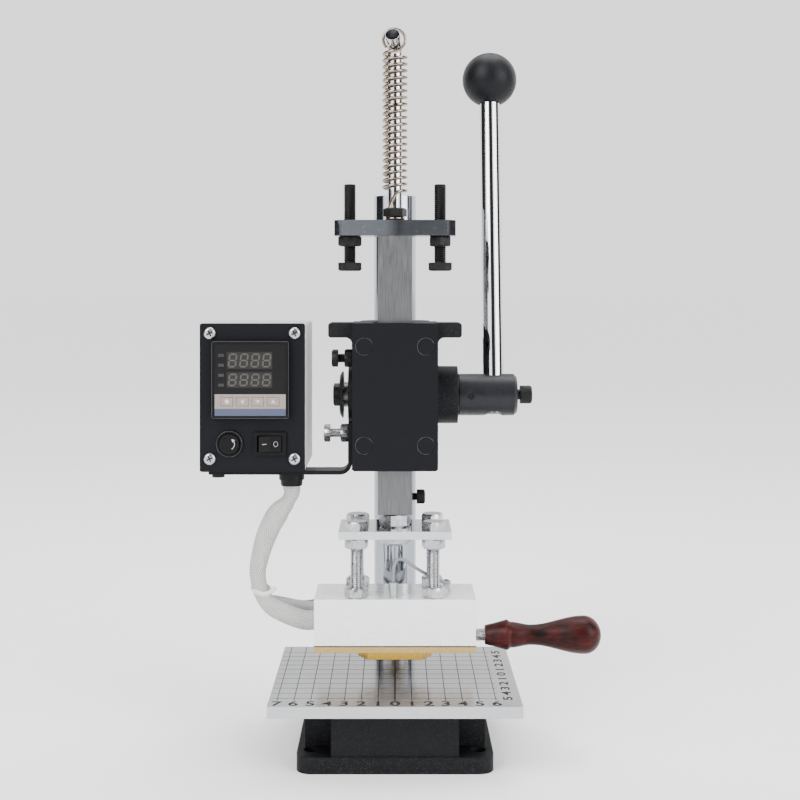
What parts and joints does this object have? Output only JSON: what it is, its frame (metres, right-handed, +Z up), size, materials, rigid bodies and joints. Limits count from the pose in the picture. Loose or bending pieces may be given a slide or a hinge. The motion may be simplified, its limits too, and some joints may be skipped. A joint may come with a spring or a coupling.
{
  "type": "hot foil stamping press",
  "caption": "Bench hot foil stamping press: cast base with ruled table, column and sliding head, rack ram worked by a ball-knob lever, heated block with brass die, and a temperature control box",
  "frame": {"origin": "centre of the four bench bolt holes, on the underside of the base", "axes": "+Z up, +X to the lever side, +Y away from the operator"},
  "size_m": [0.2501, 0.156, 0.4573],
  "materials": {
    "cast_black": "rough cast, black paint",
    "table_aluminium": "brushed, with a printed grid",
    "screw_steel": "plain",
    "chrome_steel": "polished",
    "black_painted_steel": "satin black",
    "black_oxide_screws": "black oxide",
    "ground_steel": "ground",
    "zinc_steel": "bright zinc",
    "bronze": "turned",
    "box_grey": "satin grey",
    "black_plastic": "fine satin",
    "key_beige": "matt film",
    "knob_black": "gloss",
    "block_aluminium": "milled",
    "brass": "milled",
    "lacquered_wood": "dark red lacquer",
    "spring_zinc": "zinc wire",
    "white_braid": "woven glass sleeve",
    "steel_braid": "braided steel over glass"
  },
  "bodies": {
    "base": {"base_casting": "cast_black", "table_plate": "table_aluminium", "table_screws": "screw_steel", "column": "chrome_steel", "column_bolt": "screw_steel"},
    "head": {"head_housing": "cast_black", "front_cover": "black_painted_steel", "cover_screws": "black_oxide_screws", "gib_strip": "ground_steel", "gib_screws": "zinc_steel", "clamp_bolts": "black_oxide_screws", "hook_rod": "chrome_steel", "shaft_bushes": "bronze", "control_bracket": "black_painted_steel", "bracket_screws": "black_oxide_screws", "box_shell": "box_grey", "box_panel": "black_painted_steel", "panel_screws": "zinc_steel", "controller_case": "black_plastic", "controller_face": "black_plastic", "fuse_holder": "black_plastic", "switch_body": "black_plastic", "cable_glands": "black_plastic", "return_spring": "spring_zinc", "heater_sleeve": "white_braid"},
    "lever": {"pinion_shaft": "ground_steel", "lever_hub": "black_painted_steel", "hub_pin": "screw_steel", "lever_rod": "chrome_steel", "ball_knob": "knob_black", "rod_clamp_screw": "black_oxide_screws", "shaft_washer": "black_painted_steel", "shaft_bolt": "black_oxide_screws"},
    "ram": {"ram_bar": "ground_steel", "top_bar": "black_painted_steel", "top_bar_bolt": "black_oxide_screws", "stop_lock_nuts": "black_oxide_screws", "hanger_stem": "zinc_steel", "stem_nuts": "zinc_steel", "stem_clamp_screw": "black_oxide_screws", "hanger_plate": "zinc_steel", "hanger_bolts": "zinc_steel", "hanger_nuts": "zinc_steel", "heating_block": "block_aluminium", "heater_cartridges": "zinc_steel", "die_plate": "brass", "die_plate_screws": "zinc_steel", "stamping_die": "brass", "thermocouple_probe": "zinc_steel", "handle_stud": "zinc_steel", "wooden_handle": "lacquered_wood", "thermocouple_lead": "steel_braid"},
    "stop_bolt_left": {"stop_bolt_left": "black_oxide_screws"},
    "stop_bolt_right": {"stop_bolt_right": "black_oxide_screws"},
    "rocker": {"rocker": "black_plastic"},
    "fuse_cap": {"fuse_cap": "black_plastic"},
    "key_set": {"key_set": "key_beige"},
    "key_shift": {"key_shift": "key_beige"},
    "key_down": {"key_down": "key_beige"},
    "key_up": {"key_up": "key_beige"}
  },
  "joints": [
    {"name": "head_height", "type": "slide", "parent": "base", "child": "head", "axis": [0, 0, 1], "range_m": [0, 0.06]},
    {"name": "ram_slide", "type": "slide", "parent": "head", "child": "ram", "axis": [0, 0, -1], "range_m": [-0.005, 0.013], "stiffness_N_per_m": 2000, "springref_m": -0.001, "deforming": ["return_spring", "heater_sleeve"]},
    {"name": "lever_turn", "type": "hinge", "parent": "head", "child": "lever", "pos_m": [0, 0.00505, 0.2205], "axis": [1, 0, 0], "range_deg": [-27.5, 71.2]},
    {"name": "stop_left_adjust", "type": "slide", "parent": "ram", "child": "stop_bolt_left", "axis": [0, 0, 1], "range_m": [-0.015, 0.009]},
    {"name": "stop_right_adjust", "type": "slide", "parent": "ram", "child": "stop_bolt_right", "axis": [0, 0, 1], "range_m": [-0.015, 0.009]},
    {"name": "rocker_tilt", "type": "hinge", "parent": "head", "child": "rocker", "pos_m": [-0.0779, -0.0305, 0.1927], "axis": [0, 0, 1], "range_deg": [-16, 0]},
    {"name": "fuse_cap_turn", "type": "hinge", "parent": "head", "child": "fuse_cap", "pos_m": [-0.1029, -0.032, 0.1927], "axis": [0, 1, 0], "range_deg": [0, 90]},
    {"name": "key_set_press", "type": "slide", "parent": "head", "child": "key_set", "axis": [0, 1, 0], "range_m": [0, 0.0005], "stiffness_N_per_m": 800},
    {"name": "key_shift_press", "type": "slide", "parent": "head", "child": "key_shift", "axis": [0, 1, 0], "range_m": [0, 0.0005], "stiffness_N_per_m": 800},
    {"name": "key_down_press", "type": "slide", "parent": "head", "child": "key_down", "axis": [0, 1, 0], "range_m": [0, 0.0005], "stiffness_N_per_m": 800},
    {"name": "key_up_press", "type": "slide", "parent": "head", "child": "key_up", "axis": [0, 1, 0], "range_m": [0, 0.0005], "stiffness_N_per_m": 800}
  ],
  "couplings": [
    {"joint": "lever_turn", "follows": "ram_slide", "rad_per_m": 95.238}
  ]
}
